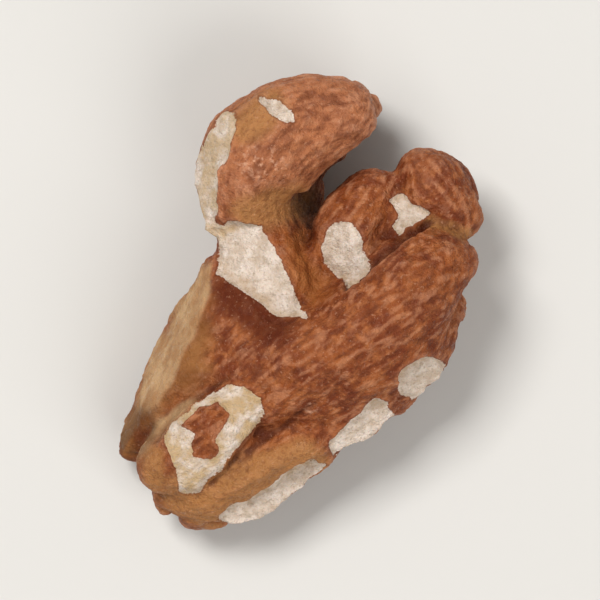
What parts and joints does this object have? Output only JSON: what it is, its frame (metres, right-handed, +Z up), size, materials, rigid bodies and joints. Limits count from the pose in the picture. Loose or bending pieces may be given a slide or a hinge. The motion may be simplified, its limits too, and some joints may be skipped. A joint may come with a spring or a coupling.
{
  "type": "cracked walnut kernel piece",
  "caption": "Broken piece of a shelled walnut kernel: a curled end, a folded brown body and pale broken faces, lying on its outer side.",
  "frame": {"origin": "middle of the footprint, on the surface that the piece lies on", "axes": "+Y along the piece towards its curled end, +X across it, +Z up"},
  "size_m": [0.0252, 0.0314, 0.0124],
  "materials": {
    "pellicle": "satin brown skin over cream flesh, bare where it broke"
  },
  "bodies": {
    "root": {"walnut_kernel": "pellicle"}
  },
  "joints": []
}
